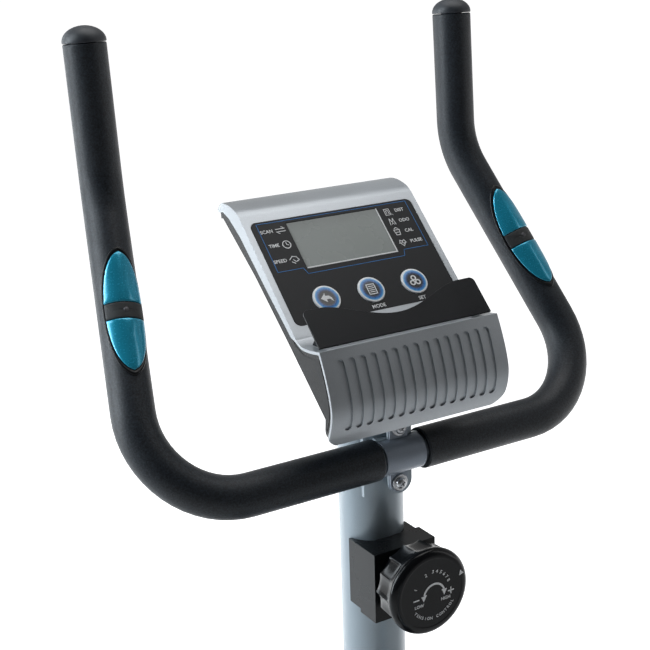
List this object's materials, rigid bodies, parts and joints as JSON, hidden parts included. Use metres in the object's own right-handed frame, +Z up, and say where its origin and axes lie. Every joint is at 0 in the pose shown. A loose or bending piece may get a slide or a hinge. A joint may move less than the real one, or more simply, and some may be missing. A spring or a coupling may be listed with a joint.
{
  "type": "exercise bike",
  "caption": "Upright magnetic exercise bike with a forward-swept foam handlebar, tilted display console, tension dial, belt drive and height-adjustable saddle.",
  "frame": {"origin": "on the floor under the middle of the bike's length and width", "axes": "+X to the rider's right, +Y ahead of the rider, +Z up"},
  "size_m": [0.5, 0.94, 1.235],
  "materials": {
    "silver_paint": "satin silver-grey enamel",
    "silver_plastic": "satin silver paint on moulded plastic",
    "black_plastic": "fine moulded grain",
    "shroud_plastic": "fine moulded grain",
    "gloss_black": "gloss",
    "foam": "fine closed-cell grain",
    "teal_plate": "metallic gloss",
    "display_lens": "clear window over a grey liquid-crystal cell",
    "button_blue": "printed gloss",
    "zinc": "zinc plated",
    "cast_iron": "turned rim, painted web",
    "rubber": "moulded",
    "saddle_vinyl": "grained vinyl",
    "circuit": "solder-resist coated"
  },
  "bodies": {
    "frame": {"main_frame": "silver_paint", "front_stabiliser": "silver_paint", "rear_stabiliser": "silver_paint", "handlebar_post": "silver_paint", "clamp_strap": "silver_paint", "console_front": "silver_plastic", "front_cap_right": "black_plastic", "front_cap_left": "black_plastic", "rear_cap_right": "black_plastic", "rear_cap_left": "black_plastic", "post_collar": "black_plastic", "seat_bushing": "black_plastic", "console_back": "black_plastic", "book_rest": "black_plastic", "tension_mount": "black_plastic", "shroud_right": "shroud_plastic", "shroud_left": "shroud_plastic", "display_panel": "gloss_black", "display_lens": "display_lens", "clamp_screw_lower": "zinc", "clamp_screw_upper": "zinc", "drive_belt": "rubber", "tension_cable": "rubber", "circuit_board": "circuit"},
    "handlebar": {"handlebar_tube": "silver_paint", "foam_grip_right": "foam", "foam_grip_left": "foam", "grip_end_right": "black_plastic", "grip_end_left": "black_plastic", "sensor_housing_right": "black_plastic", "sensor_housing_left": "black_plastic", "sensor_plate_upper_right": "teal_plate", "sensor_plate_upper_left": "teal_plate", "sensor_plate_lower_right": "teal_plate", "sensor_plate_lower_left": "teal_plate"},
    "crank": {"crank_axle": "zinc", "drive_pulley": "black_plastic", "crank_arm_right": "zinc", "crank_arm_left": "zinc", "pedal_spindle_right": "zinc", "pedal_spindle_left": "zinc"},
    "pedal_right": {"pedal_right": "black_plastic", "pedal_strap_right": "rubber"},
    "pedal_left": {"pedal_left": "black_plastic", "pedal_strap_left": "rubber"},
    "flywheel": {"flywheel": "cast_iron", "flywheel_axle": "zinc"},
    "magnet_arm": {"magnet_bracket": "zinc"},
    "tension_dial": {"tension_knob": "gloss_black"},
    "seat": {"seat_post": "silver_paint", "saddle_base": "black_plastic", "saddle_pad": "saddle_vinyl"},
    "height_pin": {"height_knob": "black_plastic"},
    "reset_key": {"button_reset": "button_blue"},
    "mode_key": {"button_mode": "button_blue"},
    "set_key": {"button_set": "button_blue"},
    "wheel_right": {"transport_wheel_right": "rubber"},
    "wheel_left": {"transport_wheel_left": "rubber"},
    "foot_right": {"levelling_foot_right": "rubber"},
    "foot_left": {"levelling_foot_left": "rubber"}
  },
  "joints": [
    {"name": "crank_spin", "type": "hinge", "parent": "frame", "child": "crank", "pos_m": [0, -0.02, 0.33], "axis": [-1, 0, 0], "continuous": true},
    {"name": "pedal_right_spin", "type": "hinge", "parent": "crank", "child": "pedal_right", "pos_m": [0.13, 0.12289, 0.2475], "axis": [1, 0, 0], "continuous": true},
    {"name": "pedal_left_spin", "type": "hinge", "parent": "crank", "child": "pedal_left", "pos_m": [-0.13, -0.16289, 0.4125], "axis": [1, 0, 0], "continuous": true},
    {"name": "flywheel_spin", "type": "hinge", "parent": "frame", "child": "flywheel", "pos_m": [0, 0.33, 0.25], "axis": [-1, 0, 0], "continuous": true},
    {"name": "tension_dial_turn", "type": "hinge", "parent": "frame", "child": "tension_dial", "pos_m": [0, 0.13169, 0.75128], "axis": [0, -0.9982, 0.0598], "range_deg": [0, 280]},
    {"name": "magnet_swing", "type": "hinge", "parent": "frame", "child": "magnet_arm", "pos_m": [0, 0.2958, 0.34397], "axis": [1, 0, 0], "range_deg": [0, 4]},
    {"name": "handlebar_tilt", "type": "hinge", "parent": "frame", "child": "handlebar", "pos_m": [0, 0.19, 0.865], "axis": [1, 0, 0], "range_deg": [-20, 20]},
    {"name": "seat_height", "type": "slide", "parent": "frame", "child": "seat", "axis": [0, -0.4384, 0.8988], "range_m": [0, 0.15]},
    {"name": "height_pin_pull", "type": "slide", "parent": "frame", "child": "height_pin", "axis": [0, -0.8988, -0.4384], "range_m": [0, 0.008], "stiffness_N_per_m": 800, "springref_m": -0.004},
    {"name": "reset_key_press", "type": "slide", "parent": "frame", "child": "reset_key", "axis": [0, 0.6449, -0.7642], "range_m": [0, 0.001], "stiffness_N_per_m": 600, "springref_m": -0.0005},
    {"name": "mode_key_press", "type": "slide", "parent": "frame", "child": "mode_key", "axis": [0, 0.6449, -0.7642], "range_m": [0, 0.001], "stiffness_N_per_m": 600, "springref_m": -0.0005},
    {"name": "set_key_press", "type": "slide", "parent": "frame", "child": "set_key", "axis": [0, 0.6449, -0.7642], "range_m": [0, 0.001], "stiffness_N_per_m": 600, "springref_m": -0.0005},
    {"name": "wheel_right_spin", "type": "hinge", "parent": "frame", "child": "wheel_right", "pos_m": [0.221, 0.447, 0.027], "axis": [1, 0, 0], "continuous": true},
    {"name": "wheel_left_spin", "type": "hinge", "parent": "frame", "child": "wheel_left", "pos_m": [-0.221, 0.447, 0.027], "axis": [1, 0, 0], "continuous": true},
    {"name": "foot_right_turn", "type": "hinge", "parent": "frame", "child": "foot_right", "pos_m": [0.222, -0.439, 0], "axis": [0, 0, 1], "range_deg": [0, 720]},
    {"name": "foot_left_turn", "type": "hinge", "parent": "frame", "child": "foot_left", "pos_m": [-0.222, -0.439, 0], "axis": [0, 0, 1], "range_deg": [0, 720]}
  ],
  "couplings": [
    {"joint": "flywheel_spin", "follows": "crank_spin", "ratio": 8},
    {"joint": "magnet_swing", "follows": "tension_dial_turn", "ratio": 0.014285}
  ]
}
